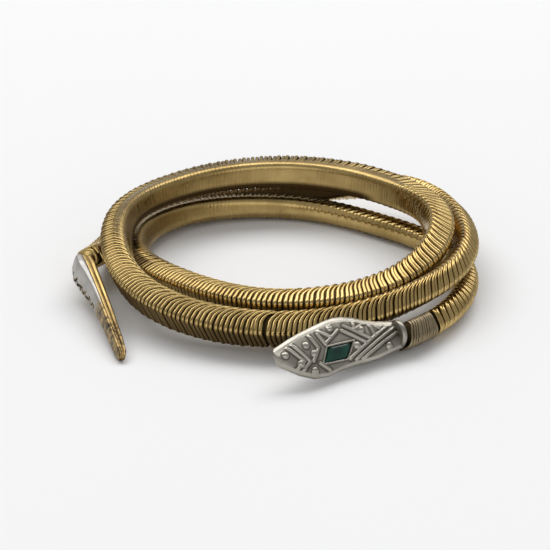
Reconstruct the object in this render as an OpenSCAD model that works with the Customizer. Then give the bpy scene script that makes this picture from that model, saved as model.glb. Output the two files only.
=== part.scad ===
// Snake bangle lying on its side: a wound wire body coiled two and a half times round
// the wrist opening, with a bound neck, a cast head, a green stone and a pointed tail.
// Origin on the floor at the centre of the wrist opening, +Z up, head towards -Y.

/* [Wound body] */
// Turn angle between two rings of the swept body
ring_step = 5; // [3:1:9]
// Gap left between two pieces, as a turn angle
piece_gap = 0.2; // [0.1:0.05:0.3]
// Open break between the two wound lengths at the front, as a turn angle
break_gap = 0.8; // [0.4:0.1:1.2]

/* [Head] */
// Length of the head from nose to collar
head_long = 26.4; // [25.4:0.2:27.4]
// Width of the bright shoulder along the upper edge
shoulder = 1.2; // [0.8:0.1:1.6]
// Height of the raised ribs above the face
rib_high = 0.35; // [0.2:0.05:0.5]
// Width of a raised rib at its foot
rib_wide = 0.62; // [0.4:0.02:0.8]
// Radius of the raised pellets
pellet_radius = 0.75; // [0.5:0.05:0.9]
// Width of the raised frame round the stone
frame_wide = 0.3; // [0.2:0.05:0.5]
// Height of the raised frame round the stone
frame_high = 0.2; // [0.15:0.05:0.4]
// Length of the round collar that takes the neck
collar_long = 1.0; // [0.8:0.1:1.4]
// Radius of the collar
collar_radius = 2.6; // [2.5:0.1:2.8]

/* [Stone] */
// Gap between the stone and its seat
stone_gap = 0.08; // [0.06:0.02:0.12]
// Depth of the seat below the face
seat_deep = 0.9; // [0.7:0.05:1.1]
// Height of the stone's table above the face
table_high = 0.15; // [0.1:0.05:0.3]
// Share of the stone's outline that the table keeps
table_share = 0.66; // [0.5:0.02:0.8]

/* [Tail] */
// Gap between the tail plate and its backing
plate_gap = 0.06; // [0.04:0.02:0.1]
// Depth of the engraved strokes in the tail plate
stroke_deep = 0.25; // [0.15:0.05:0.3]
// Width of the engraved strokes
stroke_wide = 0.3; // [0.2:0.02:0.4]

/* [Hidden] */

// Which sub-part to draw

row_step = 45;
body_from = -48.7;
body_to = 623.4;
tail_length_to = 909.0;
binding_to = -58.5;
binding_grow = 0.05;
cap_to = 911.0;
cap_grow = -0.5;

// Columns of the coil table: turn angle, distance from the axis, height of the middle,
// twist of the section, its width across the flats and the radius of its long edges.
COIL_RADIUS = 1;
COIL_HEIGHT = 2;
COIL_TWIST = 3;
COIL_WIDTH = 4;
COIL_EDGE = 5;
coil_rows = [
    [-90, 44.6, 4.2, -60, 5.2, 2.0],
    [-45, 39.0, 3.0, -46, 4.8, 1.5],
    [0, 34.0, 2.5, -5, 4.6, 1.6],
    [45, 27.4, 2.5, -6, 4.7, 1.9],
    [90, 29.1, 2.6, -8, 4.9, 1.7],
    [135, 31.4, 3.5, -12, 4.9, 1.3],
    [180, 29.4, 5.0, -20, 5.0, 0.9],
    [225, 26.2, 5.7, -12, 5.1, 0.9],
    [270, 28.5, 6.5, -12, 5.2, 0.9],
    [315, 28.8, 7.4, -17, 5.2, 0.9],
    [360, 29.8, 10.4, -20, 5.2, 0.9],
    [405, 29.6, 9.9, -2, 5.9, 1.0],
    [450, 29.9, 10.1, 1, 5.8, 1.0],
    [495, 30.9, 10.0, -6, 5.3, 1.2],
    [540, 32.4, 10.2, -21, 5.2, 1.0],
    [585, 34.9, 6.0, -27, 5.6, 1.0],
    [630, 35.1, 5.0, -36, 5.6, 1.1],
    [675, 35.3, 7.8, -51, 4.8, 1.3],
    [720, 34.9, 8.0, -43, 4.6, 1.2],
    [765, 36.1, 7.9, -45, 4.7, 0.9],
    [810, 34.6, 3.1, -15, 4.7, 1.1],
    [855, 36.3, 2.8, -12, 4.4, 0.9],
    [900, 36.3, 4.6, -25, 4.5, 0.9],
    [945, 48.0, 14.5, -45, 4.8, 0.9]
];

// Place and slant of the head: where the collar meets the neck, then the turns that
// lean the face back, dip the collar and point the nose.
head_turn = -58.5;
head_shift = [-0.8, -0.3, 0.7];
head_lean = 45;
head_dip = 4;
head_yaw = 31;
face_high = 0.5;
face_dome = 0.35;
rim_deep = 1.0;
upper_rim_deep = 0.6;
back_step = 2.4;
low_step = 1.3;
edge_drop = 0.45;
rim_tuck = 0.1;
face_foot = 0.5;

// Columns of the head table: way from the nose, upper and lower half-width, back depth.
head_rows = [
    [0.0, 1.2, 1.2, 1.1],
    [0.5, 1.7, 1.8, 1.4],
    [3.8, 2.9, 4.0, 1.8],
    [6.4, 3.7, 5.1, 2.0],
    [9.3, 4.4, 5.2, 2.2],
    [12.4, 5.1, 4.5, 2.3],
    [14.0, 5.3, 4.3, 2.4],
    [15.8, 5.2, 4.1, 2.4],
    [17.9, 4.7, 4.0, 2.4],
    [20.2, 3.8, 3.8, 2.5],
    [22.5, 3.2, 3.3, 2.6],
    [26.2, 2.6, 2.6, 2.7]
];

rib_root = 0.6;
rib_foot_share = 0.7;
rib_top_share = 0.22;
rib_sides = 12;
pellet_flat = 0.7;
pellet_sides = 16;
frame_root = 0.3;
collar_sides = 48;

// Columns of the rib table: way from the nose and height across the face at both ends.
rib_rows = [
    [2.5, 1.2, 5.0, -2.0],
    [5.0, -2.0, 2.9, -3.3],
    [3.6, 1.7, 6.1, -2.2],
    [6.1, -2.2, 3.8, -3.9],
    [7.6, 2.7, 8.6, 0.0],
    [8.6, 0.0, 6.8, -2.2],
    [9.4, 2.6, 10.2, 0.4],
    [7.9, -2.8, 9.5, -4.3],
    [10.3, 0.6, 13.6, 2.6],
    [9.6, 3.4, 11.6, 1.7],
    [14.4, 2.4, 18.6, -0.8],
    [15.2, 3.2, 19.4, 0.0],
    [16.9, 2.1, 17.5, 4.0],
    [17.5, 4.0, 19.7, 3.2],
    [19.7, 3.2, 16.9, 2.1],
    [20.3, 3.2, 20.6, 0.6],
    [14.2, -3.0, 20.3, 0.1],
    [20.3, 0.1, 25.2, 2.3],
    [15.4, -3.3, 21.0, -0.6],
    [21.0, -0.6, 25.2, 1.2],
    [16.8, -3.4, 21.8, -1.2],
    [21.8, -1.2, 25.2, 0.1]
];

// Pellets on the face: way from the nose, height across the face.
pellets = [
    [1.7, -0.2], [4.2, -2.3], [6.4, 0.9], [6.5, -4.0], [7.4, -0.9], [12.3, 3.3],
    [16.4, -0.9], [18.4, 1.9], [22.2, 2.0], [22.9, -2.1]
];

// Corners of the stone on the face.
stone_corners = [[10.4, -0.1], [16.0, 0.1], [13.7, -2.9], [8.6, -3.0]];

culet_share = 0.5;
girdle_deep = 0.3;
corner_cut = 0.12;

// Place and slant of the tail.
tail_at = [-39.6, -7.9, 6.6];
tail_lean = 14;
tail_dip = 9.8;
tail_yaw = 288;

// Columns of the tail table: way from the root, upper and lower half-width, thickness of
// the plate and of the backing.
tail_rows = [
    [0.0, 1.4, 1.4, 0.8, 1.9],
    [1.0, 1.9, 2.3, 1.3, 2.2],
    [3.5, 2.1, 2.9, 1.5, 2.3],
    [7.0, 2.1, 2.8, 1.1, 2.1],
    [12.0, 2.0, 1.9, 0.8, 2.0],
    [20.0, 1.7, 1.2, 0.7, 1.8],
    [28.0, 1.3, 1.2, 0.6, 1.5],
    [31.5, 1.1, 1.1, 0.6, 1.2],
    [33.0, 0.6, 0.6, 0.4, 0.7]
];
PLATE_THICK = 3;
bevel_wide = 0.35;
inset = 0.05;

// Shares of the plate's thickness at its edges and shoulders.
plate_edge = 0.55;
plate_shoulder = 0.9;
plate_low_shoulder = 0.85;
plate_low_edge = 0.5;

// Shares of the backing's thickness down its upper edge, from the back to the plate.
backing_shoulder = 0.9;
backing_ridge = 0.72;
backing_groove = 0.5;
backing_lip = 0.3;
backing_low_half = 0.95;

// Engraved strokes of the tail plate: way from the root, height across, turn, length.
stroke_rows = [
    [2.6, -1.7, 70, 1.2],
    [3.6, -2.0, 130, 1.0],
    [4.6, -1.6, 50, 1.3],
    [5.5, -2.1, 110, 0.9],
    [6.4, -1.7, 20, 1.1],
    [7.3, -1.9, 80, 1.3],
    [8.3, -1.5, 140, 1.0],
    [9.2, -1.7, 60, 1.1],
    [10.2, -1.3, 100, 1.0],
    [11.1, -1.4, 30, 0.8],
    [12.1, -1.0, 70, 1.0],
    [13.1, -1.0, 120, 0.9],
    [14.2, -0.8, 50, 0.9],
    [15.3, -0.8, 90, 0.8]
];

function unit(v) = v / norm(v);

function clamp(i, top) = max(0, min(top, i));

function coil_cell(i, col) = coil_rows[clamp(i, len(coil_rows) - 1)][col];

// A smooth curve through the middle two of four evenly spaced values.
function smooth(a, b, c, d, t) =
    b + t / 2 * (c - a + t * (2 * a - 5 * b + 4 * c - d + t * (3 * (b - c) + d - a)));

function coil_value(turn, col) =
    let (place = (turn - coil_rows[0][0]) / row_step, i = floor(place))
    smooth(coil_cell(i - 1, col), coil_cell(i, col), coil_cell(i + 1, col),
        coil_cell(i + 2, col), place - i);

function coil_point(turn) =
    let (radius = coil_value(turn, COIL_RADIUS))
    [radius * cos(turn), radius * sin(turn), coil_value(turn, COIL_HEIGHT)];

function coil_along(turn) = unit(coil_point(turn + 0.5) - coil_point(turn - 0.5));

// Outward direction of the section, square to the way the coil runs.
function coil_out(turn) =
    let (out = [cos(turn), sin(turn), 0], along = coil_along(turn))
    unit(out - (out * along) * along);

// Twelve points of a rounded square, three to a corner.
function square_ring(wide, twist, radius) = [
    for (corner = [0 : 3], part = [0 : 2])
        let (
            turn = corner * 90 + part * 45 + twist,
            mid = corner * 90 + 45 + twist,
            reach = (wide / 2 - radius) * sqrt(2)
        )
        [reach * cos(mid) + radius * cos(turn), reach * sin(mid) + radius * sin(turn)]
];

// Ring of the wound body at one turn angle, grown by a margin.
function coil_ring(turn, grow) =
    let (
        mid = coil_point(turn),
        out = coil_out(turn),
        up = cross(out, coil_along(turn)),
        wide = coil_value(turn, COIL_WIDTH) + 2 * grow,
        flat = square_ring(wide, coil_value(turn, COIL_TWIST), coil_value(turn, COIL_EDGE))
    )
    [for (p = flat) mid + p[0] * out + p[1] * up];

// Faces that join rings of equal length and close both ends.
function skin_faces(rings, sides) = concat(
    [[for (j = [sides - 1 : -1 : 0]) j]],
    [for (i = [0 : rings - 2], j = [0 : sides - 1])
        [i * sides + j, i * sides + (j + 1) % sides, (i + 1) * sides + (j + 1) % sides]],
    [for (i = [0 : rings - 2], j = [0 : sides - 1])
        [i * sides + j, (i + 1) * sides + (j + 1) % sides, (i + 1) * sides + j]],
    [[for (j = [0 : sides - 1]) (rings - 1) * sides + j]]
);

// The rows of a table from last to first, so that the skin's faces look outwards.
function backwards(rows) = [for (i = [len(rows) - 1 : -1 : 0]) rows[i]];

module skin(rings) {
    polyhedron(
        points = [for (ring = rings, p = ring) p],
        faces = skin_faces(len(rings), len(rings[0])),
        convexity = 10
    );
}

module coil_length(from, to, grow) {
    steps = max(2, ceil(abs(to - from) / ring_step));
    skin([for (i = [0 : steps]) coil_ring(from + (to - from) * i / steps, grow)]);
}

// Section of the head at one row: face, shoulder along the upper edge, rim and back.
function head_ring(row) =
    let (
        along = row[0] - head_long,
        up = row[1],
        low = -row[2],
        deep = -row[3],
        third = (up - low) / 3,
        step = min(back_step, third),
        foot = min(low_step, third),
        bright = min(shoulder, third)
    )
    [
        [along, low, -rim_deep],
        [along, low + foot, deep],
        [along, up - step, deep],
        [along, up, -upper_rim_deep],
        [along, up - rim_tuck, -edge_drop],
        [along, up - bright / 2, -edge_drop / 3],
        [along, up - bright, 0],
        [along, (up - bright + low) / 2, face_dome],
        [along, low + face_foot, 0],
        [along, low, -edge_drop]
    ];

module head_frame() {
    translate(coil_point(head_turn) + head_shift)
        rotate([90 - head_lean, head_dip, head_yaw])
            translate([0, 0, face_high])
                children();
}

module rib(row) {
    ends = [[row[0], row[1]], [row[2], row[3]]];
    hull() {
        for (p = ends) {
            translate([p[0] - head_long, p[1], -rib_root])
                cylinder(h = rib_root + face_dome + rib_high, r1 = rib_wide * rib_foot_share,
                    r2 = rib_wide * rib_top_share, $fn = rib_sides);
        }
    }
}

module pellet(p) {
    translate([p[0] - head_long, p[1], face_dome / 2])
        scale([1, 1, pellet_flat])
            sphere(r = pellet_radius, $fn = pellet_sides);
}

module stone_outline(grow) {
    translate([-head_long, 0])
        offset(delta = grow)
            polygon(stone_corners);
}

// Round collar with a bevelled rim on both sides.
module collar() {
    bevel = collar_long / 4;
    translate([-collar_long, 0, -face_high])
        rotate([0, 90, 0])
            rotate_extrude($fn = collar_sides)
                polygon([
                    [0, 0],
                    [collar_radius - bevel, 0],
                    [collar_radius, bevel],
                    [collar_radius, collar_long - bevel],
                    [collar_radius - bevel, collar_long],
                    [0, collar_long]
                ]);
}

module head() {
    color("#9a9a90")
    head_frame() {
        difference() {
            union() {
                skin([for (row = backwards(head_rows)) head_ring(row)]);
                collar();
                for (row = rib_rows) {
                    rib(row);
                }
                for (p = pellets) {
                    pellet(p);
                }
                translate([0, 0, -frame_root])
                    linear_extrude(height = frame_root + face_dome + frame_high)
                        stone_outline(frame_wide);
            }
            translate([0, 0, -seat_deep])
                linear_extrude(height = 2 * seat_deep + face_dome + frame_high)
                    stone_outline(0);
        }
    }
}

// The stone's outline at one level, drawn towards its middle by a share.
function stone_ring(share, high) =
    let (mid = (stone_corners[0] + stone_corners[1] + stone_corners[2] + stone_corners[3]) / 4)
    [
        for (i = [0 : 3], side = [-1, 1])
            let (
                here = stone_corners[i],
                next = stone_corners[(i + side + 4) % 4],
                cut = here + (next - here) * corner_cut,
                p = mid + (cut - mid) * share
            )
            [p[0] - head_long, p[1], high]
    ];

module head_stone() {
    keep = 1 - 3 / 4 * stone_gap;
    shelf = face_dome / 2;
    color("#14402c")
    head_frame()
        skin([
            stone_ring(culet_share, stone_gap - seat_deep),
            stone_ring(keep, -girdle_deep),
            stone_ring(keep, -girdle_deep / 2),
            stone_ring((keep + table_share) / 2, shelf + table_high / 2),
            stone_ring(table_share, shelf + table_high)
        ]);
}

module tail_frame() {
    translate(tail_at)
        rotate([90 - tail_lean, tail_dip, tail_yaw])
            children();
}

// Section of the tail plate: flat at the back, bevelled towards the upper edge.
function plate_ring(row) =
    let (up = row[1], low = -row[2], thick = row[3])
    [
        [row[0], low, plate_gap / 2],
        [row[0], up, plate_gap / 2],
        [row[0], up, thick * plate_edge],
        [row[0], up - bevel_wide, thick * plate_shoulder],
        [row[0], up / 3, thick],
        [row[0], low / 2, thick],
        [row[0], low + bevel_wide, thick * plate_low_shoulder],
        [row[0], low, thick * plate_low_edge]
    ];

// Section of the tail backing: flat against the plate, with a groove along its edge.
function backing_ring(row) =
    let (up = row[1] - inset, low = -row[2] + inset, thick = -row[4])
    [
        [row[0], low, thick * backing_groove],
        [row[0], low / 2, thick * backing_low_half],
        [row[0], up / 2, thick],
        [row[0], up - bevel_wide / 2, thick * backing_shoulder],
        [row[0], up, thick * backing_ridge],
        [row[0], up - bevel_wide, thick * backing_groove],
        [row[0], up, thick * backing_lip],
        [row[0], up, -plate_gap / 2],
        [row[0], low, -plate_gap / 2]
    ];

// Thickness of the plate at a way along the tail.
function plate_thick(way) = lookup(way, [for (row = tail_rows) [row[0], row[PLATE_THICK]]]);

module stroke(row) {
    translate([row[0], row[1], plate_thick(row[0])])
        rotate([0, 0, row[2]])
            cube([row[3], stroke_wide, 2 * stroke_deep], center = true);
}

module tail_plate() {
    color("#b8b6ae")
    tail_frame()
        difference() {
            skin([for (row = backwards(tail_rows)) plate_ring(row)]);
            for (row = stroke_rows) {
                stroke(row);
            }
        }
}

module tail_backing() {
    color("#b08c3c")
    union() {
        tail_frame()
            skin([for (row = backwards(tail_rows)) backing_ring(row)]);
        coil_length(tail_length_to + piece_gap, cap_to, cap_grow);
    }
}

module wound_body() {
    color("#b0945a")
    coil_length(body_from, body_to, 0);
}

module wound_tail_length() {
    color("#b0945a")
    coil_length(body_to + break_gap, tail_length_to, 0);
}

module neck_binding() {
    color("#6e644b")
    coil_length(binding_to, body_from - piece_gap, binding_grow);
}

wound_body();
wound_tail_length();
neck_binding();
head();
head_stone();
tail_plate();
tail_backing();
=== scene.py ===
import math

import bpy
import numpy as np
from mathutils import Euler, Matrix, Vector


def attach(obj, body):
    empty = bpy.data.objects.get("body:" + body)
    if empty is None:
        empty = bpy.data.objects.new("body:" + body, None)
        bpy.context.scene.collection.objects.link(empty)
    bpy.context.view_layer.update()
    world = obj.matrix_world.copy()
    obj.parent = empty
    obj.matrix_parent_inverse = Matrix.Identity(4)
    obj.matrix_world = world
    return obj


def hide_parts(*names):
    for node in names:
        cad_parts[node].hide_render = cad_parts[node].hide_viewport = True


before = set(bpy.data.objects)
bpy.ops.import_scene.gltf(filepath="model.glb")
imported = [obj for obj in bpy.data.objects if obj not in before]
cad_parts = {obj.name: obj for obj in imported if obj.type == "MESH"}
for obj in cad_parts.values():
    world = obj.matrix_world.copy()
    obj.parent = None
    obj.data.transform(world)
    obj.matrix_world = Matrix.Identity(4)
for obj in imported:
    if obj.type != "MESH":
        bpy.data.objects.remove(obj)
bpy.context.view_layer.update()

# Sizes are millimetres until a mesh is made; every mesh, light and camera is in metres.
MM = 0.001

# The coil's path, a row every 45 degrees: turn angle, distance from the axis, height,
# twist, width across the flats, corner radius.
ROW_STEP = 45.0
RADIUS, HEIGHT, TWIST, WIDTH, EDGE = 1, 2, 3, 4, 5
COIL = np.array([
    [-90, 44.6, 4.2, -60, 5.2, 2.0],
    [-45, 39.0, 3.0, -46, 4.8, 1.5],
    [0, 34.0, 2.5, -5, 4.6, 1.6],
    [45, 27.4, 2.5, -6, 4.7, 1.9],
    [90, 29.1, 2.6, -8, 4.9, 1.7],
    [135, 31.4, 3.5, -12, 4.9, 1.3],
    [180, 29.4, 5.0, -20, 5.0, 0.9],
    [225, 26.2, 5.7, -12, 5.1, 0.9],
    [270, 28.5, 6.5, -12, 5.2, 0.9],
    [315, 28.8, 7.4, -17, 5.2, 0.9],
    [360, 29.8, 10.4, -20, 5.2, 0.9],
    [405, 29.6, 9.9, -2, 5.9, 1.0],
    [450, 29.9, 10.1, 1, 5.8, 1.0],
    [495, 30.9, 10.0, -6, 5.3, 1.2],
    [540, 32.4, 10.2, -21, 5.2, 1.0],
    [585, 34.9, 6.0, -27, 5.6, 1.0],
    [630, 35.1, 5.0, -36, 5.6, 1.1],
    [675, 35.3, 7.8, -51, 4.8, 1.3],
    [720, 34.9, 8.0, -43, 4.6, 1.2],
    [765, 36.1, 7.9, -45, 4.7, 0.9],
    [810, 34.6, 3.1, -15, 4.7, 1.1],
    [855, 36.3, 2.8, -12, 4.4, 0.9],
    [900, 36.3, 4.6, -25, 4.5, 0.9],
    [945, 48.0, 14.5, -45, 4.8, 0.9],
])
# Turn angles between which each part of the winding runs.
BODY = (-48.7, 623.5)
TAIL_LENGTH = (624.0, 909.0)
BINDING = (-58.5, -48.9)
TAIL_CAP = (909.2, 911.0)
# Half the turn over which the way along is measured.
ALONG_STEP = 0.5
LENGTH_STEPS = 6000


def smooth(a, b, c, d, t):
    """A smooth curve through the middle two of four evenly spaced values."""
    return b + t / 2 * (c - a + t * (2 * a - 5 * b + 4 * c - d + t * (3 * (b - c) + d - a)))


def curve(turn, column):
    """A smooth curve through one column of the coil table."""
    place = (turn - COIL[0, 0]) / ROW_STEP
    i = np.clip(np.floor(place).astype(int), 0, len(COIL) - 2)

    def cell(k):
        return COIL[np.clip(k, 0, len(COIL) - 1), column]

    return smooth(cell(i - 1), cell(i), cell(i + 1), cell(i + 2), place - i)


def coil_point(turn):
    radius = curve(turn, RADIUS)
    angle = np.radians(turn)
    return np.stack([radius * np.cos(angle), radius * np.sin(angle), curve(turn, HEIGHT)], -1)


def unit(v):
    return v / np.linalg.norm(v, axis=-1, keepdims=True)


def coil_frame(turn):
    """Middle, outward and upward directions and the way along, at each turn angle."""
    along = unit(coil_point(turn + ALONG_STEP) - coil_point(turn - ALONG_STEP))
    angle = np.radians(turn)
    out = np.stack([np.cos(angle), np.sin(angle), 0 * angle], -1)
    out = unit(out - (out * along).sum(-1, keepdims=True) * along)
    return coil_point(turn), out, np.cross(out, along), along


def lengths(span):
    """Turn angles over a span and the length of coil up to each."""
    turns = np.linspace(span[0], span[1], LENGTH_STEPS)
    steps = np.linalg.norm(np.diff(coil_point(turns), axis=0), axis=1)
    return turns, np.concatenate([[0], np.cumsum(steps)])


def square_ring(share, half, radius, twist):
    """Point and outward angle on a rounded square, by share of its outline."""
    quarter = np.floor(share * 4)
    flat = half - radius
    way = (share * 4 - quarter) * (2 * flat + math.pi / 2 * radius)
    bend = np.clip((way - flat) / radius, 0, math.pi / 2)
    x = flat + radius * np.cos(bend) - np.maximum(0, way - flat - math.pi / 2 * radius)
    y = np.minimum(way, flat) + radius * np.sin(bend)
    turn = quarter * math.pi / 2 + np.radians(twist)
    cos, sin = np.cos(turn), np.sin(turn)
    return x * cos - y * sin, x * sin + y * cos, bend + turn


def coil_rings(turn, share, half, radius):
    """Plain rings of the coil's section, of a given half-width and corner radius."""
    middle, out, up, _ = coil_frame(turn)
    rings = []
    for m, o, u, h, r, twist in zip(middle, out, up, half, radius, curve(turn, TWIST)):
        n, z, _ = square_ring(share, h, r, twist)
        rings.append(m + n[:, None] * o + z[:, None] * u)
    return np.array(rings)


def step_up(value):
    """From nought to one, flat at both ends."""
    value = np.clip(value, 0, 1)
    return value * value * (3 - 2 * value)


def make_object(name, points, faces, material, node, rounded=True, tones=None):
    """A piece from millimetre points, riding on the root and standing for a CAD node."""
    mesh = bpy.data.meshes.new(name)
    mesh.from_pydata((np.asarray(points) * MM).tolist(), [], [list(f) for f in faces])
    mesh.polygons.foreach_set("use_smooth", [rounded] * len(mesh.polygons))
    if tones is not None:
        mesh.attributes.new("tone", "FLOAT", "POINT").data.foreach_set("value", tones)
    mesh.update()
    mesh.materials.append(material)
    obj = bpy.data.objects.new(name, mesh)
    bpy.context.scene.collection.objects.link(obj)
    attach(obj, "root")
    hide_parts(node)
    return obj


def skin(rings):
    """Points and faces of equal rings joined in order and closed at both ends."""
    rings = np.asarray(rings)
    count, sides = rings.shape[:2]
    i = np.arange(count - 1)[:, None] * sides
    j = np.arange(sides)[None, :]
    k = (j + 1) % sides
    quads = np.stack([i + j, i + k, i + sides + k, i + sides + j], -1).reshape(-1, 4)
    faces = quads.tolist()
    faces.append(list(range(sides))[::-1])
    faces.append(list(range((count - 1) * sides, count * sides)))
    return rings.reshape(-1, 3), faces


def flip(faces):
    return [f[::-1] for f in faces]


def runs(outline):
    """Share, way across and height along each straight run of a closed outline.

    A corner of the outline is its way across, its height and the steps of the run after it.
    """
    for (t0, z0, steps), (t1, z1, _) in zip(outline, outline[1:] + outline[:1]):
        k = np.arange(steps) / steps
        yield k, t0 + (t1 - t0) * k, z0 + (z1 - z0) * k


# Scales of the noise behind each effect, in waves to the metre.
MOTTLE_SCALE = 130
STAIN_SCALE = 700
GLOSS_SCALE = 420
GRAIN_SCALE = 900
STONE_SCALE = 260
FLOOR_SCALE = 3
GRAIN_STRENGTH = 0.16
GRAIN_DEEP = 0.00006
CREVICE_ROUGH = 0.7
BLACK, WHITE = (0, 0, 0), (1, 1, 1)


def node_tree(name):
    material = bpy.data.materials.new(name)
    material.use_nodes = True
    tree = material.node_tree
    shader = next(n for n in tree.nodes if n.type == "BSDF_PRINCIPLED")
    return material, tree, shader


def ramp(tree, source, stops):
    node = tree.nodes.new("ShaderNodeValToRGB")
    while len(node.color_ramp.elements) > 1:
        node.color_ramp.elements.remove(node.color_ramp.elements[-1])
    for i, (place, colour) in enumerate(stops):
        element = node.color_ramp.elements[0] if i == 0 else node.color_ramp.elements.new(place)
        element.position = place
        element.color = (*colour, 1)
    tree.links.new(source, node.inputs["Fac"])
    return node.outputs["Color"]


def mask(tree, source, low, high):
    """Black up to one value of the source and white from another."""
    return ramp(tree, source, [(low, BLACK), (high, WHITE)])


def noise(tree, scale, detail=6.0, rough=0.6, stretch=(1, 1, 1)):
    place = tree.nodes.new("ShaderNodeTexCoord")
    mapping = tree.nodes.new("ShaderNodeMapping")
    mapping.inputs["Scale"].default_value = stretch
    node = tree.nodes.new("ShaderNodeTexNoise")
    node.inputs["Scale"].default_value = scale
    node.inputs["Detail"].default_value = detail
    node.inputs["Roughness"].default_value = rough
    tree.links.new(place.outputs["Object"], mapping.inputs["Vector"])
    tree.links.new(mapping.outputs["Vector"], node.inputs["Vector"])
    return node.outputs["Fac"]


def blend(tree, share, first, second):
    """Mix two colours by a share; each is an output socket or a plain colour."""
    node = tree.nodes.new("ShaderNodeMix")
    node.data_type = "RGBA"
    colours = [s for s in node.inputs if s.type == "RGBA"]
    for socket, value in zip((node.inputs["Factor"], *colours[:2]), (share, first, second)):
        if isinstance(value, tuple):
            socket.default_value = (*value, 1)
        else:
            tree.links.new(value, socket)
    return next(s for s in node.outputs if s.type == "RGBA")


def attribute(tree, name):
    node = tree.nodes.new("ShaderNodeAttribute")
    node.attribute_name = name
    return node.outputs["Fac"]


def bump(tree, shader, height, strength, distance):
    node = tree.nodes.new("ShaderNodeBump")
    node.inputs["Strength"].default_value = strength
    node.inputs["Distance"].default_value = distance
    tree.links.new(height, node.inputs["Height"])
    tree.links.new(node.outputs["Normal"], shader.inputs["Normal"])


def metal(name, light, middle, dark, rough, shade_and_patina=(0.25, 0.8), worn=None):
    """Mottled metal, darkened by the mesh's tone: bright where a wire stands proud and dark in its
    crevices as painted shade.

    The tone darkens it between the two values of shade_and_patina, or not at all if that is None.
    It is painted shade on the winding and round the head's raised work, and dark engraving on the
    tail. A worn colour shows through in stains where the tone is middling.
    """
    material, tree, shader = node_tree(name)
    shader.inputs["Metallic"].default_value = 1.0
    colour = ramp(tree, noise(tree, MOTTLE_SCALE), [(0.36, middle), (0.62, light)])
    gloss = ramp(tree, noise(tree, GLOSS_SCALE), [(0.35, (rough[0],) * 3), (0.68, (rough[1],) * 3)])
    if worn:
        stain = blend(tree, mask(tree, noise(tree, STAIN_SCALE, 4, 0.7), 0.42, 0.6), worn, dark)
        colour = blend(tree, mask(tree, attribute(tree, "tone"), 0.3, 0.6), colour, stain)
    if shade_and_patina:
        deep = mask(tree, attribute(tree, "tone"), *shade_and_patina)
        colour = blend(tree, deep, colour, dark)
        gloss = blend(tree, deep, gloss, (CREVICE_ROUGH,) * 3)
    tree.links.new(colour, shader.inputs["Base Color"])
    tree.links.new(gloss, shader.inputs["Roughness"])
    bump(tree, shader, noise(tree, GRAIN_SCALE, 4), GRAIN_STRENGTH, GRAIN_DEEP)
    return material


winding_metal = metal("wound_brass", light=(0.56, 0.405, 0.165), middle=(0.39, 0.272, 0.102),
                      dark=(0.07, 0.04, 0.014), rough=(0.15, 0.27))
# A dark, rough sheet inside the winding, seen between the wires: painted shade of the hollow.
hollow_shade_metal = metal("winding_hollow_shade", light=(0.10, 0.07, 0.03), middle=(0.05, 0.035, 0.015),
                    dark=BLACK, rough=(0.6, 0.8), shade_and_patina=None)
binding_metal = metal("binding_wire", light=(0.37, 0.30, 0.19), middle=(0.23, 0.18, 0.11),
                      dark=(0.04, 0.028, 0.016), rough=(0.34, 0.5))
cast_metal = metal("cast_white_metal", light=(0.43, 0.405, 0.35), middle=(0.30, 0.28, 0.235),
                   dark=(0.075, 0.068, 0.05), rough=(0.26, 0.4))
plate_metal = metal("tail_white_metal", light=(0.48, 0.46, 0.43), middle=(0.34, 0.325, 0.30),
                    dark=(0.06, 0.045, 0.03), rough=(0.34, 0.48), shade_and_patina=(0.72, 0.98),
                    worn=(0.40, 0.28, 0.12))
backing_metal = metal("tail_brass", light=(0.58, 0.42, 0.16), middle=(0.38, 0.26, 0.10),
                      dark=(0.07, 0.045, 0.02), rough=(0.3, 0.46), shade_and_patina=(0.72, 0.98),
                      worn=(0.34, 0.23, 0.09))


def stone_glass():
    material, tree, shader = node_tree("green_stone")
    shader.inputs["Metallic"].default_value = 0.0
    shader.inputs["Roughness"].default_value = 0.06
    shader.inputs["IOR"].default_value = 1.58
    shader.inputs["Specular IOR Level"].default_value = 0.35
    depths = ramp(tree, noise(tree, STONE_SCALE, 3, 0.5, (1, 1, 0.4)), [
        (0.34, (0.003, 0.022, 0.016)), (0.52, (0.003, 0.05, 0.03)), (0.7, (0.004, 0.10, 0.055))])
    tree.links.new(depths, shader.inputs["Base Color"])
    return material


stone_material = stone_glass()

# The winding is a proud and a sunk wire side by side. SECOND_WIRE is the share of a pitch
# from the one to the other.
PAIR_PITCH = 1.74
SECOND_WIRE = 0.46
WIRE_HIGH = 0.30
WIRE_WIDE = 0.39
SINK = 0.3
WOBBLE = 0.03
CORE_DEEP = 0.62
CORE_REACH = 0.3
BINDING_PITCH = 0.6
BINDING_WIRE = 0.25
BINDING_WOBBLE = 0.07
BINDING_CORE_DEEP = 0.3
BINDING_CORE_REACH = -0.2
SIDES = 8
# Length from an end of the winding over which the loops come to lie straight.
WINDING_FADE = 4
BINDING_FADE = 1.2
# Turn angle past each end over which the coil's length is also measured.
END_TURNS = 6.0
# Share of a loop by which a wire runs on past its first and last loop, flat against the end.
END_LOOP = 0.5
# Places along one side of the section, as shares of that quarter of the outline.
QUARTER = np.array([0.0, 0.15, 0.3, 0.4, 0.5, 0.6, 0.72, 0.86])
LOOP = np.concatenate([(QUARTER + q) / 4 for q in range(4)])
CORE_QUARTER = np.array([0.3, 0.5, 0.7])
CORE_LOOP = np.concatenate([(CORE_QUARTER + q) / 4 for q in range(4)])
CORE_STEP = 3
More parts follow.
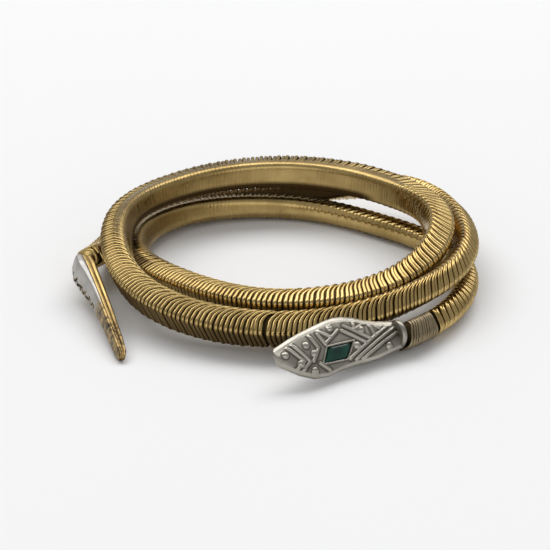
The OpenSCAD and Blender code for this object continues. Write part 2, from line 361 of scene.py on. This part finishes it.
# How far the loops lean along the coil, by share of the outline from the middle of the
# outer side over the top to the inner side and back underneath, and by turn angle.
LEAN_SHARES = np.array([0.0, 0.08, 0.16, 0.25, 0.3, 0.335, 0.375, 0.43, 0.5, 0.75, 1.0])
LEAN = np.array([
    [-60, -1.3, -1.2, -0.9, -0.3, 0.2, 0.4, 0.5, 0.5, 0.5, -0.6, -1.3],
    [-49, -0.9, -0.7, -0.4, 0.2, 0.4, 0.6, 0.8, 0.9, 0.9, -0.2, -0.9],
    [-46, -0.4, -0.3, -0.1, 0.4, 0.7, 1.0, 1.4, 1.6, 1.6, 0.3, -0.4],
    [0, -0.2, -0.3, -0.2, 0.0, 0.2, 0.4, 0.9, 1.2, 1.3, 0.3, -0.2],
    [90, -0.1, -0.2, -0.1, 0.0, 0.1, 0.2, 0.4, 0.5, 0.6, 0.1, -0.1],
    [180, -0.2, -0.3, -0.4, -0.5, -0.3, 0.2, 1.1, 1.3, 1.4, 0.3, -0.2],
    [250, 0.2, 0.0, -0.4, -0.8, -0.6, 0.3, 1.8, 2.3, 2.4, 0.8, 0.2],
    [270, 0.0, 0.0, -0.2, -0.2, 0.1, 0.8, 2.0, 2.4, 2.5, 0.8, 0.0],
    [290, -0.2, -0.2, 0.0, 0.4, 0.8, 1.4, 2.3, 2.7, 2.8, 0.8, -0.2],
    [340, -0.2, -0.2, 0.0, 0.4, 0.8, 1.3, 2.0, 2.4, 2.5, 0.8, -0.2],
    [400, -0.2, -0.3, -0.2, 0.0, 0.1, 0.3, 0.8, 1.1, 1.2, 0.3, -0.2],
    [450, -0.1, -0.2, -0.1, 0.0, 0.1, 0.2, 0.4, 0.5, 0.6, 0.1, -0.1],
    [530, 0.4, 0.0, -0.4, -0.5, -0.2, 0.4, 1.5, 2.0, 2.1, 1.0, 0.4],
    [585, 0.5, 0.1, -0.4, -0.6, -0.2, 0.7, 2.1, 2.7, 2.8, 1.7, 0.5],
    [620, 0.5, 0.2, 0.0, 0.0, 0.4, 1.1, 2.3, 2.9, 3.0, 1.8, 0.5],
    [645, 0.4, 0.2, 0.1, 0.5, 1.0, 1.6, 2.7, 3.2, 3.3, 1.8, 0.4],
    [690, 0.2, 0.1, 0.2, 1.0, 1.5, 2.1, 3.0, 3.4, 3.5, 1.6, 0.2],
    [720, 0.1, 0.1, 0.1, 0.6, 0.9, 1.3, 2.0, 2.4, 2.5, 1.1, 0.1],
    [770, 0.1, 0.0, 0.0, 0.1, 0.2, 0.3, 0.6, 0.8, 0.9, 0.5, 0.1],
    [910, 0.0, 0.0, 0.0, 0.0, 0.0, 0.1, 0.2, 0.3, 0.3, 0.1, 0.0],
])
# Painted shade in the crevices between strands and on faces turned from the light: turn angles and
# shares of the outline between which it lies, and how dark it is there. A share below nought is
# counted back from the outer side.
PAINTED_SHADE = np.array([
    [225, 345, -0.2, 0.12, 0.5],
    [410, 565, 0.57, 0.8, 0.8],
    [565, 650, -0.25, 0.12, 0.8],
    [575, 622, 0.12, 0.36, 0.4],
    [385, 460, 0.16, 0.34, 0.2],
    [650, 740, -0.3, 0.12, 0.5],
    [768, 893, 0.2, 0.65, 1.0],
    [60, 205, 0.02, 0.28, 0.9],
    [400, 560, 0.02, 0.2, 0.6],
])
PAINTED_SHADE_EDGE = 0.03
PAINTED_SHADE_TURN = 12
# The loops are pressed together on the inner side, from a share of the outline that is
# given by turn angle to PRESSED_TO. Where it starts before WORN_FROM they are also worn flat.
PRESSED_FROM = np.array([
    [60, 0.35], [90, 0.27], [195, 0.27], [220, 0.35], [380, 0.35], [405, 0.22], [480, 0.24],
    [545, 0.27], [575, 0.35],
])
PRESSED_TO = 0.65
PRESSED_EDGE = 0.05
WORN_FROM = 0.35
WORN_RANGE = 0.08
# The sunk wire is sunk most at the top inner corner of the section.
CORNER = 0.375
CORNER_SPREAD = 0.07
CORNER_SINK = 0.65
# Power that squares a wire's section: the lower, the squarer.
ROUND, PRESSED_SQUARER = 0.8, 0.36
# How much wider and evener the wires are where they are pressed together, and how much of the
# painted crevice shade they lose there.
PRESSED_WIDER = 0.3
PRESSED_EVEN = 0.5
PRESSED_LEVEL = 0.8
PRESSED_LESS_SHADE = 0.95
# A loop that runs aslant isn't made thinner than this, squared.
LEAST_ASLANT = 0.05
# Angle between faces from which an edge of a pressed loop is shaded as an edge.
FLAT_EDGE = math.radians(58)
# How dark the tone grows towards a wire's foot as painted crevice shade, with the listed painted
# shade, and where the loops are worn flat.
CREVICE_POWER = 1.5
PAINTED_SHADE_TONE = 0.75
WORN_TONE = 0.36


def lean(turn, share):
    """How far a place on the winding leans along the coil."""
    rows = np.stack([np.interp(turn, LEAN[:, 0], LEAN[:, k + 1]) for k in range(len(LEAN_SHARES))])
    i = np.clip(np.searchsorted(LEAN_SHARES, share, side="right") - 1, 0, len(LEAN_SHARES) - 2)
    t = (share - LEAN_SHARES[i]) / (LEAN_SHARES[i + 1] - LEAN_SHARES[i])
    each = np.arange(len(turn))
    return rows[i, each] * (1 - t) + rows[i + 1, each] * t


def painted_shade(turn, share):
    """How dark painted shade makes a place on the winding."""
    dark = np.zeros(len(turn))
    # Each row is painted shade, darkest inside its span of turn and share.
    for first, last, low, high, amount in PAINTED_SHADE:
        place = (share - low) % 1.0
        inside = step_up(np.minimum(place, high - low - place) / PAINTED_SHADE_EDGE + 0.5)
        between = step_up(np.minimum(turn - first, last - turn) / PAINTED_SHADE_TURN + 0.5)
        dark = np.maximum(dark, amount * inside * between)
    return dark


def fade_in(way, reach):
    """From nought at an end to one at a given way from it, or one all along."""
    return np.clip(way / reach, 0, 1) if reach else 1.0


def wire(name, span, pitch, phase, high, wide, sunk, wobble, fades, material, node):
    """One of two wires wound side by side round the section over a span of the coil.

    The first and last loops close up flat, so that both ends of the span are square.
    """
    turns, ways = lengths((span[0] - END_TURNS, span[1] + END_TURNS))
    ways = ways - np.interp(span[0], turns, ways)
    long = np.interp(span[1], turns, ways)
    loops = round(long / pitch)
    pitch = (long - 2 * wide) / (loops + SECOND_WIRE)
    loop = (np.arange(-1, loops + 1)[:, None] + LOOP[None, :]).ravel()
    loop = loop[(loop >= -END_LOOP) & (loop <= loops + END_LOOP)]
    share = loop % 1.0
    chance = np.random.default_rng(len(name)).normal(0, wobble, (2, loops + 3))
    aside, deeper = (np.interp(loop, np.arange(-1, loops + 2), row) for row in chance)

    # Way along the coil, first of the plain spiral and then with its leaning loops.
    way = np.clip(wide + (loop + phase) * pitch, wide + phase * pitch,
                  long - wide - (SECOND_WIRE - phase) * pitch)
    fade = np.minimum(fade_in(way, fades[0]), fade_in(long - way, fades[1]))
    turn = np.interp(way, ways, turns)
    pressed_from = np.interp(turn, PRESSED_FROM[:, 0], PRESSED_FROM[:, 1])
    pressed = step_up(np.minimum(share - pressed_from, PRESSED_TO - share) / PRESSED_EDGE)
    worn_flat = np.clip((WORN_FROM - pressed_from) / WORN_RANGE, 0, 1) * pressed
    free = np.abs(way - long / 2) < long / 2 - pitch
    way = way + lean(turn, share) * fade + aside * free
    way = way + (0.5 - SECOND_WIRE) * pitch * pressed * (phase > 0)
    turn = np.interp(way, ways, turns)

    # The wire's centre line, and the directions square to it.
    n, z, angle = square_ring(share, curve(turn, WIDTH) / 2, curve(turn, EDGE), curve(turn, TWIST))
    middle, out, up, along = coil_frame(turn)
    normal = np.cos(angle)[:, None] * out + np.sin(angle)[:, None] * up
    ridge = np.exp(-((share - CORNER) / CORNER_SPREAD) ** 2) * (1 - worn_flat)
    depth = high + np.abs(deeper) * (1 - PRESSED_EVEN * pressed)
    depth = depth + (1 - CORNER_SINK) * sunk * (1 - PRESSED_LEVEL * pressed)
    depth = depth + CORNER_SINK * sunk * ridge
    centre = middle + n[:, None] * out + z[:, None] * up - depth[:, None] * normal
    run = unit(np.gradient(centre, axis=0))
    normal = unit(normal - (normal * run).sum(-1, keepdims=True) * run)
    side = np.cross(run, normal)

    # Its section. Where a loop runs aslant it turns its edge, so that the loops still lie
    # side by side.
    aslant = np.sqrt(np.clip(1 - (run * along).sum(-1) ** 2, LEAST_ASLANT, 1))[:, None]
    around = np.arange(SIDES) / SIDES * 2 * math.pi
    cos, sin = np.cos(around)[None, :], np.sin(around)[None, :]
    pressed = pressed[:, None]
    square = ROUND - PRESSED_SQUARER * pressed
    across = wide * aslant * (1 + PRESSED_WIDER * pressed) * np.sign(sin) * np.abs(sin) ** square
    rise = high * np.sign(cos) * np.abs(cos) ** square
    rings = (centre[:, None, :] + rise[..., None] * normal[:, None, :]
             + across[..., None] * side[:, None, :])
    points, faces = skin(rings)

    # Tone: painted crevice shade towards each wire's foot, less where the loops are pressed
    # together, plus the listed painted shade and the darkening where they are worn flat.
    tones = (0.5 - 0.5 * cos) ** CREVICE_POWER * (1 - PRESSED_LESS_SHADE * pressed)
    tones = tones + PAINTED_SHADE_TONE * painted_shade(turn, share)[:, None] + WORN_TONE * worn_flat[:, None]
    obj = make_object(name, points, faces, material, node,
                      tones=np.clip(tones, 0, 1).ravel())
    obj.data.set_sharp_from_angle(angle=FLAT_EDGE)


def core(name, span, reach, depth, node):
    """A dark sheet inside a wound length, seen only between its wires: painted shade of its hollow.
    """
    start, end = span[0] - reach, span[1] + reach
    turn = np.linspace(start, end, max(3, int((end - start) / CORE_STEP)))
    rings = coil_rings(turn, CORE_LOOP, curve(turn, WIDTH) / 2 - depth, curve(turn, EDGE))
    points, faces = skin(rings)
    make_object(name, points, faces, hollow_shade_metal, node)


for label, span, fades, node in (
    ("body", BODY, (WINDING_FADE, 0), "wound_body"),
    ("tail_length", TAIL_LENGTH, (0, WINDING_FADE), "wound_tail_length"),
):
    for kind, phase, sunk in (("proud", 0.0, 0.0), ("sunk", SECOND_WIRE, SINK)):
        wire(f"{kind}_wire_{label}", span, PAIR_PITCH, phase, WIRE_HIGH, WIRE_WIDE, sunk, WOBBLE,
             fades, winding_metal, node)
    core(f"hollow_{label}", span, CORE_REACH, CORE_DEEP, node)

wire("binding_wire", BINDING, BINDING_PITCH, 0.0, BINDING_WIRE, BINDING_WIRE, 0.0, BINDING_WOBBLE,
     (0, BINDING_FADE), binding_metal, "neck_binding")
core("binding_hollow", BINDING, BINDING_CORE_REACH, BINDING_CORE_DEEP, "neck_binding")

# The head: its length, its turn angle on the coil, and its place and slant there.
HEAD_LONG = 26.4
HEAD_TURN = -58.5
HEAD_SHIFT = np.array([-0.8, -0.3, 0.7])
HEAD_LEAN, HEAD_DIP, HEAD_YAW = 45.0, 4.0, 31.0
# Way from the nose, upper and lower half-width, depth of the back.
HEAD_ROWS = np.array([
    [0.0, 1.2, 1.2, 1.1], [0.5, 1.7, 1.8, 1.4], [3.8, 2.9, 4.0, 1.8], [6.4, 3.7, 5.1, 2.0],
    [9.3, 4.4, 5.2, 2.2], [12.4, 5.1, 4.5, 2.3], [14.0, 5.3, 4.3, 2.4], [15.8, 5.2, 4.1, 2.4],
    [17.9, 4.7, 4.0, 2.4], [20.2, 3.8, 3.8, 2.5], [22.5, 3.2, 3.3, 2.6], [26.2, 2.6, 2.6, 2.7],
])
NOSE_LONG, NOSE_STATIONS, HEAD_STATIONS = 0.5, 5, 236
# The section: how high the face lies and bulges, and its edges and back.
FACE_HIGH = 0.5
FACE_DOME = 0.35
FACE_FOOT = 0.5
FACE_STEPS = 84
SHOULDER = 1.2
EDGE_DROP = 0.45
RIM_TUCK = 0.1
RIM_DEEP = 1.0
UPPER_RIM_DEEP = 0.6
BACK_STEP = 2.4
LOW_STEP = 1.3
# Raised ribs: way from the nose and height across the face at both ends.
RIBS = np.array([
    [2.5, 1.2, 5.0, -2.0], [5.0, -2.0, 2.9, -3.3], [3.6, 1.7, 6.1, -2.2], [6.1, -2.2, 3.8, -3.9],
    [7.6, 2.7, 8.6, 0.0], [8.6, 0.0, 6.8, -2.2], [9.4, 2.6, 10.2, 0.4], [7.9, -2.8, 9.5, -4.3],
    [10.3, 0.6, 13.6, 2.6], [9.6, 3.4, 11.6, 1.7], [14.4, 2.4, 18.6, -0.8], [15.2, 3.2, 19.4, 0.0],
    [16.9, 2.1, 17.5, 4.0], [17.5, 4.0, 19.7, 3.2], [19.7, 3.2, 16.9, 2.1], [20.3, 3.2, 20.6, 0.6],
    [14.2, -3.0, 20.3, 0.1], [20.3, 0.1, 25.2, 2.3], [15.4, -3.3, 21.0, -0.6],
    [21.0, -0.6, 25.2, 1.2], [16.8, -3.4, 21.8, -1.2], [21.8, -1.2, 25.2, 0.1],
])
PELLETS = np.array([
    [1.7, -0.2], [4.2, -2.3], [6.4, 0.9], [6.5, -4.0], [7.4, -0.9], [12.3, 3.3],
    [16.4, -0.9], [18.4, 1.9], [22.2, 2.0], [22.9, -2.1],
])
STONE = np.array([[10.4, -0.1], [16.0, 0.1], [13.7, -2.9], [8.6, -3.0]])
# Height of the raised work, the reach of its foot and how much of that is slope.
RIB_HIGH, RIB_REACH, RIB_SLOPE = 0.35, 0.40, 0.26
FRAME_HIGH, FRAME_REACH, FRAME_SLOPE = 0.2, 0.3, 0.16
PELLET_HIGH, PELLET_RADIUS = 0.5, 0.75
SEAT_DEEP = 0.8
# Reach and slope of the painted shade round the foot of the raised work; a pellet's are in squares
# of its radius.
RIB_SHADE, FRAME_SHADE, PELLET_SHADE = (0.95, 0.5), (0.7, 0.4), (1.9, 0.8)
# The raised work dies out this many times from the middle to the edge of the face.
RELIEF_FADE = 14
# Tones of the head's sides and face, of the painted shade round the foot of the raised work, and
# how much lighter the raised work is.
SIDE_TONE, FACE_TONE, FOOT_SHADE_TONE, HIGH_TONE = 0.25, 0.42, 0.3, 2.2
# The collar: way along and radius down its profile.
COLLAR = [(-1.0, 2.25), (-0.95, 2.42), (-0.8, 2.54), (-0.5, 2.6), (-0.2, 2.56), (-0.06, 2.46),
          (0.0, 2.3), (-0.02, 1.2)]
COLLAR_SIDES = 64
BARE_TONE = 0.3
# The stone: share of its outline and height at each level, from the culet to the table.
STONE_LEVELS = ((0.5, -0.78), (0.95, -0.3), (0.95, -0.12), (0.82, 0.26), (0.66, 0.32))
CORNER_CUT = 0.1


def rotation(lean, dip, yaw):
    turns = (math.radians(90 - lean), math.radians(dip), math.radians(yaw))
    return np.array(Euler(turns, "XYZ").to_matrix())


head_matrix = rotation(HEAD_LEAN, HEAD_DIP, HEAD_YAW)
head_origin = coil_point(np.array([HEAD_TURN]))[0] + HEAD_SHIFT + head_matrix[:, 2] * FACE_HIGH


def on_head(points):
    return np.asarray(points) @ head_matrix.T + head_origin


def segment_distance(s, t, row):
    a, b = row[:2], row[2:]
    d = b - a
    k = np.clip(((s - a[0]) * d[0] + (t - a[1]) * d[1]) / (d @ d), 0, 1)
    return np.hypot(s - a[0] - k * d[0], t - a[1] - k * d[1])


def outline_distance(s, t, corners):
    """Signed distance to a convex outline, negative inside; corners run clockwise."""
    far = np.full(np.shape(s), -np.inf)
    for a, b in zip(corners, np.roll(corners, -1, axis=0)):
        edge = (b - a) / np.linalg.norm(b - a)
        far = np.maximum(far, (s - a[0]) * -edge[1] + (t - a[1]) * edge[0])
    return far


def relief(s, t):
    """Height of the raised work above the face, and how much painted shade a place gets from lying
    near its foot.
    """
    high = np.zeros(np.shape(s))
    foot_shade = np.zeros(np.shape(s))
    for row in RIBS:
        far = segment_distance(s, t, row)
        high = np.maximum(high, RIB_HIGH * step_up((RIB_REACH - far) / RIB_SLOPE))
        foot_shade = np.maximum(foot_shade, step_up((RIB_SHADE[0] - far) / RIB_SHADE[1]))
    for p in PELLETS:
        far = ((s - p[0]) ** 2 + (t - p[1]) ** 2) / PELLET_RADIUS ** 2
        high = np.maximum(high, PELLET_HIGH * np.sqrt(np.maximum(1 - far, 0)))
        foot_shade = np.maximum(foot_shade, step_up((PELLET_SHADE[0] - far) / PELLET_SHADE[1]))
    far = outline_distance(s, t, STONE)
    high = np.maximum(high, FRAME_HIGH * step_up((FRAME_REACH - far) / FRAME_SLOPE))
    foot_shade = np.maximum(foot_shade, step_up((FRAME_SHADE[0] - far) / FRAME_SHADE[1]))
    return np.where(far < 0, -SEAT_DEEP, high), foot_shade


def head_mesh():
    nose = np.linspace(0, NOSE_LONG, NOSE_STATIONS, endpoint=False)
    stations = np.concatenate([nose, np.linspace(NOSE_LONG, HEAD_ROWS[-1, 0], HEAD_STATIONS)])
    rings, tones = [], []
    for s in stations:
        up, low, deep = (np.interp(s, HEAD_ROWS[:, 0], column) for column in HEAD_ROWS.T[1:])
        low, deep = -low, -deep
        bright, step, foot = (min(most, (up - low) / 3) for most in (SHOULDER, BACK_STEP, LOW_STEP))
        outline = [
            (low, -RIM_DEEP, 3), (low + foot, deep, 12), (up - step, deep, 6),
            (up, -UPPER_RIM_DEEP, 2), (up - RIM_TUCK, -EDGE_DROP, 4),
            (up - bright / 2, -EDGE_DROP / 3, 4), (up - bright, 0, FACE_STEPS),
            (low + FACE_FOOT, 0, 4), (low, -EDGE_DROP, 3),
        ]
        for k, t, z in runs(outline):
            tone = np.full(len(k), SIDE_TONE)
            if len(k) == FACE_STEPS:
                high, foot_shade = relief(s, t)
                z = z + FACE_DOME * (4 * k * (1 - k))
                z = z + high * np.clip(np.minimum(k, 1 - k) * RELIEF_FADE, 0, 1)
                # Painted shade round the foot of the raised work; the raised work itself is made
                # lighter.
                tone = np.clip(FACE_TONE + FOOT_SHADE_TONE * foot_shade - HIGH_TONE * high, 0, 1)
            rings.append(np.stack([np.full(len(k), s - HEAD_LONG), t, z], -1))
            tones.append(tone)
    points, faces = skin(np.concatenate(rings).reshape(len(stations), -1, 3))
    return on_head(points), flip(faces), np.concatenate(tones)


def collar_mesh():
    around = np.arange(COLLAR_SIDES) / COLLAR_SIDES * 2 * math.pi
    rings = []
    for x, radius in COLLAR:
        rings.append(np.stack([np.full(COLLAR_SIDES, x), radius * np.cos(around),
                               radius * np.sin(around) - FACE_HIGH], -1))
    points, faces = skin(rings)
    return on_head(points), faces


def stone_mesh():
    middle = STONE.mean(0)
    rings = []
    for share, high in STONE_LEVELS:
        ring = []
        for i in range(4):
            for side in (-1, 1):
                cut = STONE[i] + (STONE[(i + side) % 4] - STONE[i]) * CORNER_CUT
                p = middle + (cut - middle) * share
                ring.append((p[0] - HEAD_LONG, p[1], high))
        rings.append(ring)
    points, faces = skin(rings)
    return on_head(points), flip(faces)


points, faces, tones = head_mesh()
make_object("cast_head", points, faces, cast_metal, "head", tones=tones)
points, faces = collar_mesh()
make_object("head_collar", points, faces, cast_metal, "head",
            tones=np.full(len(points), BARE_TONE))
points, faces = stone_mesh()
make_object("faceted_stone", points, faces, stone_material, "head_stone",
            rounded=False)

# The tail: the place of its root and its slant.
TAIL_AT = np.array([-39.6, -7.9, 6.6])
TAIL_LEAN, TAIL_DIP, TAIL_YAW = 14.0, 9.8, 288.0
TAIL_STATIONS = 200
# Way from the root, upper and lower half-width, thickness of the plate and of the backing.
TAIL_ROWS = np.array([
    [0.0, 1.4, 1.4, 0.8, 1.9], [1.0, 1.9, 2.3, 1.3, 2.2], [3.5, 2.1, 2.9, 1.5, 2.3],
    [7.0, 2.1, 2.8, 1.1, 2.1], [12.0, 2.0, 1.9, 0.8, 2.0], [20.0, 1.7, 1.2, 0.7, 1.8],
    [28.0, 1.3, 1.2, 0.6, 1.5], [31.5, 1.1, 1.1, 0.6, 1.2], [33.0, 0.6, 0.6, 0.4, 0.7],
])
# Half the gap between the plate and the backing, and how much narrower the backing is.
HALF_GAP = 0.03
INSET = 0.05
# Shares of the plate's thickness at its edges and shoulders.
PLATE_EDGE, PLATE_SHOULDER, PLATE_LOW_SHOULDER, PLATE_LOW_EDGE = 0.55, 0.9, 0.85, 0.5
BEVEL_WIDE = 0.35
# Shares of the backing's thickness, down its upper edge from the back and at its lower half.
BACKING_SHOULDER, BACKING_RIDGE, BACKING_GROOVE, BACKING_LIP = 0.9, 0.72, 0.5, 0.3
BACKING_LOW_HALF, BACKING_LOW_EDGE = 0.95, 0.5
SHOULDER_WIDE, GROOVE_DEEP = 0.2, 0.15
# Engraved strokes: way from the root, height across, direction, length.
STROKES = [
    [2.6, -1.7, 70, 1.2], [3.6, -2.0, 130, 1.0], [4.6, -1.6, 50, 1.3], [5.5, -2.1, 110, 0.9],
    [6.4, -1.7, 20, 1.1], [7.3, -1.9, 80, 1.3], [8.3, -1.5, 140, 1.0], [9.2, -1.7, 60, 1.1],
    [10.2, -1.3, 100, 1.0], [11.1, -1.4, 30, 0.8], [12.1, -1.0, 70, 1.0], [13.1, -1.0, 120, 0.9],
    [14.2, -0.8, 50, 0.9], [15.3, -0.8, 90, 0.8],
]
STROKE_REACH, STROKE_SLOPE, STROKE_DEEP = 0.32, 0.16, 0.2
ENGRAVED_FROM = 0.8
PLATE_TONE = 0.2
# Way from the root at which wear starts, over what length it grows, and how far it goes.
WORN_AT, PLATE_WORN_LONG, BACKING_WORN_LONG, TIP_TONE = 14, 5, 16, 0.4
# The end of the winding: its rings and how far they lie below the coil's sides.
CAP_STEPS, CAP_SIDES = 25, 40
CAP_SINK, CAP_RIPPLE, CAP_ROUNDING, CAP_ROUND_FROM = 0.5, 0.2, 0.8, 0.6
RIPPLE_STEPS = 6
CAP_RADIUS, CAP_RADIUS_SHARE = 1.5, 0.9

tail_matrix = rotation(TAIL_LEAN, TAIL_DIP, TAIL_YAW)


def on_tail(points):
    return np.asarray(points) @ tail_matrix.T + TAIL_AT


def stroke_depth(s, t):
    deep = np.zeros(np.shape(t))
    for x, y, turn, long in STROKES:
        angle = math.radians(turn)
        reach = np.array([math.cos(angle), math.sin(angle)]) * long / 2
        row = np.array([x - reach[0], y - reach[1], x + reach[0], y + reach[1]])
        far = segment_distance(s, t, row)
        deep = np.maximum(deep, step_up((STROKE_REACH - far) / STROKE_SLOPE))
    return deep


def plate_outline(up, low, thick):
    return [
        (low, HALF_GAP, 2), (up, HALF_GAP, 2), (up, thick * PLATE_EDGE, 3),
        (up - BEVEL_WIDE, thick * PLATE_SHOULDER, 6), (up / 3, thick, 14), (low / 2, thick, 20),
        (low + BEVEL_WIDE, thick * PLATE_LOW_SHOULDER, 3), (low, thick * PLATE_LOW_EDGE, 2),
    ]


def backing_outline(up, low, thick):
    up, low = up - INSET, low + INSET
    return [
        (low, -thick * BACKING_LOW_EDGE, 4), (low / 2, -thick * BACKING_LOW_HALF, 6),
        (up / 2, -thick, 5), (up - SHOULDER_WIDE, -thick * BACKING_SHOULDER, 3),
        (up, -thick * BACKING_RIDGE, 3), (up - GROOVE_DEEP, -thick * BACKING_GROOVE, 3),
        (up, -thick * BACKING_LIP, 2), (up, -HALF_GAP, 3), (low, -HALF_GAP, 2),
    ]


def tail_half(kind):
    """The engraved plate or the ridged backing, from root to tip."""
    plate = kind == "plate"
    stations = np.linspace(0, TAIL_ROWS[-1, 0], TAIL_STATIONS)
    rings, tones = [], []
    for s in stations:
        up, low, front, back = (np.interp(s, TAIL_ROWS[:, 0], column) for column in TAIL_ROWS.T[1:])
        outline = plate_outline(up, -low, front) if plate else backing_outline(up, -low, back)
        worn_long = PLATE_WORN_LONG if plate else BACKING_WORN_LONG
        worn = TIP_TONE * step_up((s - WORN_AT) / worn_long)
        for k, t, z in runs(outline):
            tone = np.full(len(k), PLATE_TONE if plate else BARE_TONE)
            if plate and z[0] > ENGRAVED_FROM * front:
                deep = stroke_depth(s, t)
                z = z - STROKE_DEEP * deep
                tone = tone + deep
            rings.append(np.stack([np.full(len(k), s), t, z], -1))
            tones.append(tone + worn)
    points, faces = skin(np.concatenate(rings).reshape(len(stations), -1, 3))
    return on_tail(points), flip(faces), np.clip(np.concatenate(tones), 0, 1)


def cap_mesh():
    """The end of the tail's winding: a few close loops that round off into the backing."""
    turn = np.linspace(TAIL_CAP[0], TAIL_CAP[1], CAP_STEPS)
    step = np.arange(CAP_STEPS)
    end = np.abs(step / (CAP_STEPS - 1) * 2 - 1)
    ripple = CAP_RIPPLE * (1 - np.cos(step * 2 * math.pi / RIPPLE_STEPS))
    shrink = CAP_SINK + ripple + CAP_ROUNDING * np.maximum(0, end - CAP_ROUND_FROM)
    half = curve(turn, WIDTH) / 2 - shrink
    radius = np.minimum(CAP_RADIUS, half * CAP_RADIUS_SHARE)
    return skin(coil_rings(turn, np.arange(CAP_SIDES) / CAP_SIDES, half, radius))


points, faces, tones = tail_half("plate")
make_object("engraved_tail_plate", points, faces, plate_metal, "tail_plate",
            tones=tones)
points, faces, tones = tail_half("backing")
make_object("ridged_tail_backing", points, faces, backing_metal, "tail_backing",
            tones=tones)
points, faces = cap_mesh()
make_object("tail_end_cap", points, faces, backing_metal, "tail_backing",
            tones=np.full(len(points), BARE_TONE))

FLOOR_REACH = 3.0
SKY_STRENGTH = 0.45
# The camera: its lift above the floor in degrees, its distance and sideways place.
CAMERA_LIFT = 24.0
CAMERA_FAR = 0.416
CAMERA_ASIDE = -0.002
CAMERA_NEAREST = 0.01
FOCAL_PIXELS = 2120.0
FRAME_PIXELS = 550.0


def floor_material():
    material, tree, shader = node_tree("pale_floor")
    shade = ramp(tree, noise(tree, FLOOR_SCALE, 3),
                 [(0.3, (0.885, 0.882, 0.878)), (0.7, (0.905, 0.902, 0.898))])
    tree.links.new(shade, shader.inputs["Base Color"])
    shader.inputs["Roughness"].default_value = 0.6
    shader.inputs["Specular IOR Level"].default_value = 0.25
    return material


def make_floor():
    r = FLOOR_REACH
    mesh = bpy.data.meshes.new("floor")
    mesh.from_pydata([(-r, -r, 0), (r, -r, 0), (r, r, 0), (-r, r, 0)], [], [(0, 1, 2, 3)])
    mesh.materials.append(floor_material())
    floor = bpy.data.objects.new("floor", mesh)
    bpy.context.scene.collection.objects.link(floor)


def area_light(name, place, size, power):
    """A rectangular light that faces the bangle."""
    data = bpy.data.lights.new(name, "AREA")
    data.shape = "RECTANGLE"
    data.size, data.size_y = size
    data.energy = power
    light = bpy.data.objects.new(name, data)
    light.location = place
    light.rotation_euler = (-Vector(place)).to_track_quat("-Z", "Y").to_euler()
    bpy.context.scene.collection.objects.link(light)


def make_world():
    world = bpy.data.worlds.new("studio")
    bpy.context.scene.world = world
    world.use_nodes = True
    background = next(n for n in world.node_tree.nodes if n.type == "BACKGROUND")
    background.inputs["Color"].default_value = (0.97, 0.98, 1.0, 1)
    background.inputs["Strength"].default_value = SKY_STRENGTH


def make_camera():
    data = bpy.data.cameras.new("camera")
    data.sensor_width = 36.0
    data.lens = FOCAL_PIXELS / FRAME_PIXELS * data.sensor_width
    data.clip_start = CAMERA_NEAREST
    camera = bpy.data.objects.new("camera", data)
    lift = math.radians(CAMERA_LIFT)
    camera.location = (CAMERA_ASIDE, -CAMERA_FAR * math.cos(lift), CAMERA_FAR * math.sin(lift))
    camera.rotation_euler = (math.pi / 2 - lift, 0, 0)
    bpy.context.scene.collection.objects.link(camera)
    bpy.context.scene.camera = camera


make_floor()
make_world()
area_light("back_softbox", place=(-0.1, 0.76, 1.3), size=(2.6, 0.95), power=21.5)
area_light("front_softbox", place=(0.1, -1.15, 0.38), size=(2.0, 0.7), power=3.9)
make_camera()
bpy.context.scene.view_settings.view_transform = "Standard"
